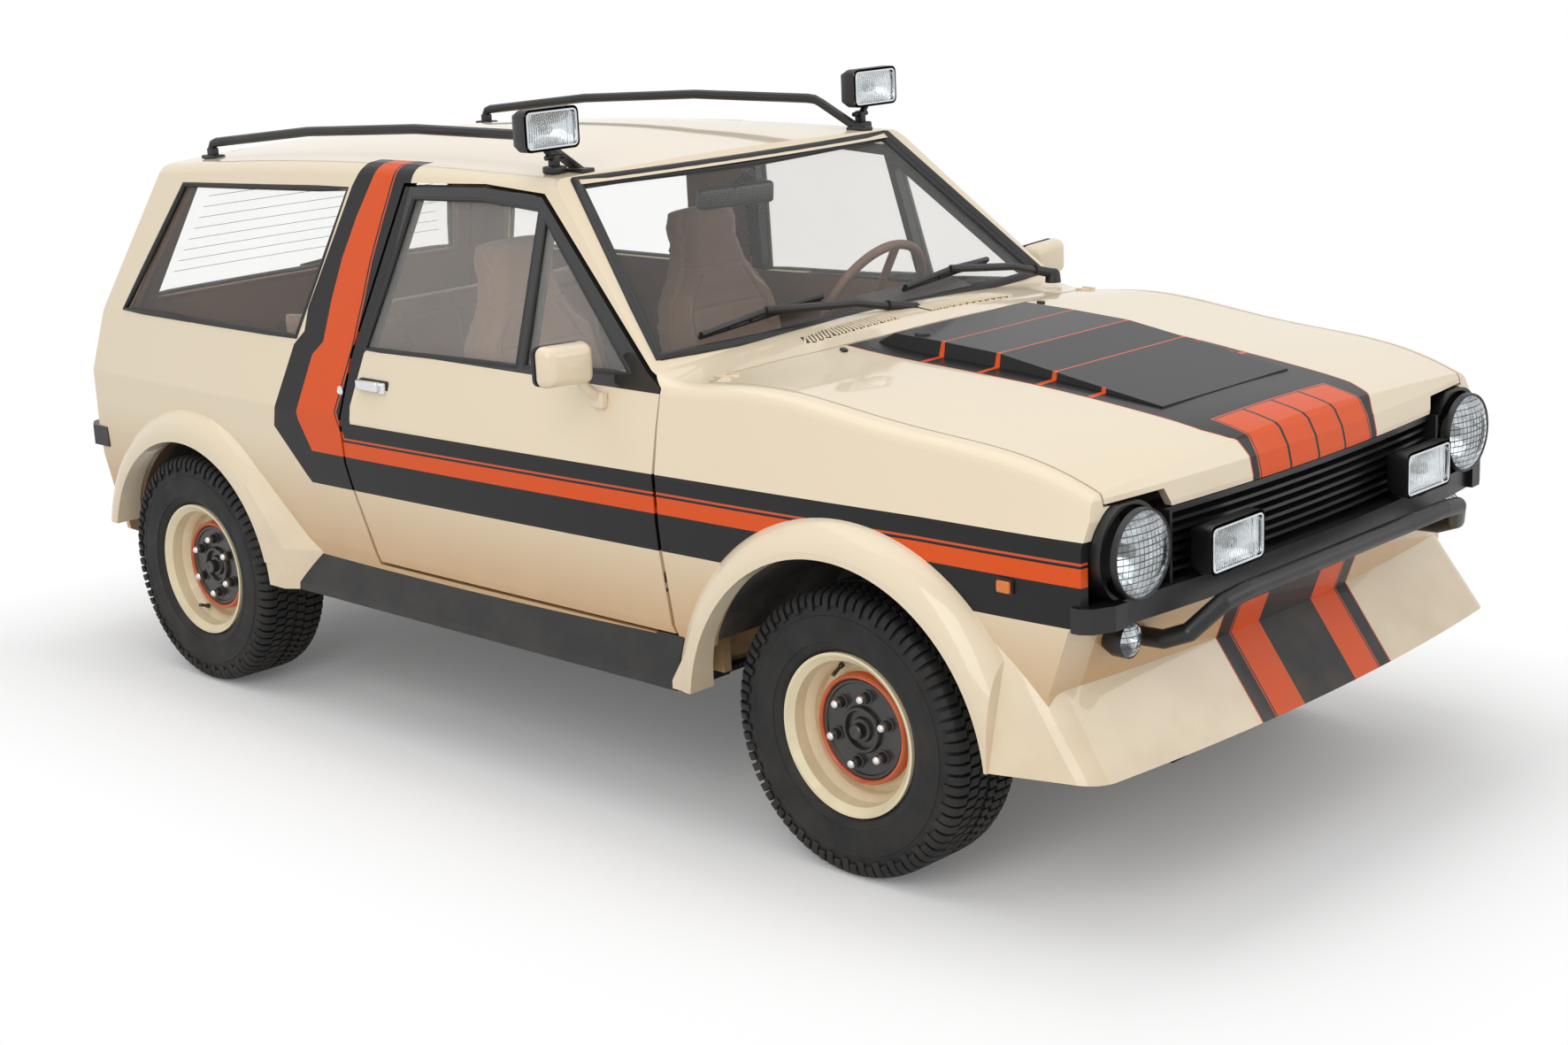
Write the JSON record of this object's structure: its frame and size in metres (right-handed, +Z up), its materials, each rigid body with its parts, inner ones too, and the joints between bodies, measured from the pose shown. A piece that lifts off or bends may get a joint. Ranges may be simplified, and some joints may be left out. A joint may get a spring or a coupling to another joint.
{
  "type": "three-door hatchback car with raised suspension",
  "caption": "Raised three-door hatchback with wide wheel arches, chin spoiler, roof rails and driving lamps; doors, bonnet, tailgate, steering and wheels move.",
  "frame": {"origin": "on the ground under the middle of the car's length and width", "axes": "+Z up, -Y forward, +X to the car's left"},
  "size_m": [1.83, 3.655, 1.5545],
  "materials": {
    "cream_paint": "gloss",
    "underbody": "matte",
    "engine_metal": "matte",
    "exhaust_steel": "satin",
    "black_trim": "satin",
    "lamp_glass": "gloss",
    "tail_lens": "gloss",
    "clear_glass": "gloss",
    "brown_plastic": "matte",
    "seat_cloth": "matte",
    "tyre": "matte",
    "wheel_paint": "gloss"
  },
  "bodies": {
    "root": {"arch_liners": "underbody", "dashboard": "brown_plastic", "driving_lamps": "lamp_glass", "engine": "engine_metal", "exhaust": "exhaust_steel", "fixed_glass": "clear_glass", "floor_pan": "underbody", "front_arms": "underbody", "front_bumper": "black_trim", "front_seats": "seat_cloth", "front_skirt": "cream_paint", "front_valance": "cream_paint", "front_wings": "cream_paint", "fuel_tank": "underbody", "grille": "black_trim", "headlamps": "lamp_glass", "push_bar": "black_trim", "rear_axle": "underbody", "rear_bumper": "black_trim", "rear_flares": "cream_paint", "rear_panel": "cream_paint", "rear_seat": "seat_cloth", "roof_panel": "cream_paint", "roof_rails": "black_trim", "scuttle_panel": "cream_paint", "side_panels": "cream_paint", "sill_covers": "black_trim", "steering_column": "brown_plastic", "tail_lamps": "tail_lens", "wipers": "black_trim"},
    "door_left": {"door_glass_left": "clear_glass", "door_left": "cream_paint", "door_mirror_left": "cream_paint"},
    "door_right": {"door_glass_right": "clear_glass", "door_mirror_right": "cream_paint", "door_right": "cream_paint"},
    "bonnet": {"bonnet": "cream_paint"},
    "tailgate": {"tailgate": "cream_paint", "tailgate_glass": "clear_glass"},
    "knuckle_left": {"knuckle_left": "underbody"},
    "knuckle_right": {"knuckle_right": "underbody"},
    "steering_wheel": {"steering_wheel": "brown_plastic"},
    "wheel_front_left": {"rim_front_left": "wheel_paint", "tyre_front_left": "tyre"},
    "wheel_front_right": {"rim_front_right": "wheel_paint", "tyre_front_right": "tyre"},
    "wheel_rear_left": {"rim_rear_left": "wheel_paint", "tyre_rear_left": "tyre"},
    "wheel_rear_right": {"rim_rear_right": "wheel_paint", "tyre_rear_right": "tyre"}
  },
  "joints": [
    {"name": "steer_left", "type": "hinge", "parent": "root", "child": "knuckle_left", "pos_m": [0.59, -1.0775, 0.205], "axis": [-0.2014, 0, 0.9795], "range_deg": [-28, 28]},
    {"name": "steer_right", "type": "hinge", "parent": "root", "child": "knuckle_right", "pos_m": [-0.59, -1.0775, 0.205], "axis": [0.2014, 0, 0.9795], "range_deg": [-28, 28]},
    {"name": "steering_wheel_turn", "type": "hinge", "parent": "root", "child": "steering_wheel", "pos_m": [0.33, -0.2395, 0.985], "axis": [0, 0.8829, 0.4695], "range_deg": [-448, 448]},
    {"name": "door_left_hinge", "type": "hinge", "parent": "root", "child": "door_left", "pos_m": [0.757, -0.5425, 0.7], "axis": [0, 0, -1], "range_deg": [0, 65]},
    {"name": "door_right_hinge", "type": "hinge", "parent": "root", "child": "door_right", "pos_m": [-0.757, -0.5425, 0.7], "axis": [0, 0, 1], "range_deg": [0, 65]},
    {"name": "bonnet_hinge", "type": "hinge", "parent": "root", "child": "bonnet", "pos_m": [0, -0.6675, 1.01], "axis": [-1, 0, 0], "range_deg": [0, 50]},
    {"name": "tailgate_hinge", "type": "hinge", "parent": "root", "child": "tailgate", "pos_m": [0, 1.5625, 1.361], "axis": [1, 0, 0], "range_deg": [0, 78]},
    {"name": "wheel_front_left_spin", "type": "hinge", "parent": "knuckle_left", "child": "wheel_front_left", "pos_m": [0.65, -1.0775, 0.31], "axis": [1, 0, 0], "continuous": true},
    {"name": "wheel_front_right_spin", "type": "hinge", "parent": "knuckle_right", "child": "wheel_front_right", "pos_m": [-0.65, -1.0775, 0.31], "axis": [1, 0, 0], "continuous": true},
    {"name": "wheel_rear_left_spin", "type": "hinge", "parent": "root", "child": "wheel_rear_left", "pos_m": [0.7, 1.2085, 0.31], "axis": [1, 0, 0], "continuous": true},
    {"name": "wheel_rear_right_spin", "type": "hinge", "parent": "root", "child": "wheel_rear_right", "pos_m": [-0.7, 1.2085, 0.31], "axis": [1, 0, 0], "continuous": true}
  ],
  "couplings": [
    {"joint": "steer_left", "follows": "steer_right", "ratio": 1},
    {"joint": "steering_wheel_turn", "follows": "steer_right", "ratio": 16}
  ]
}
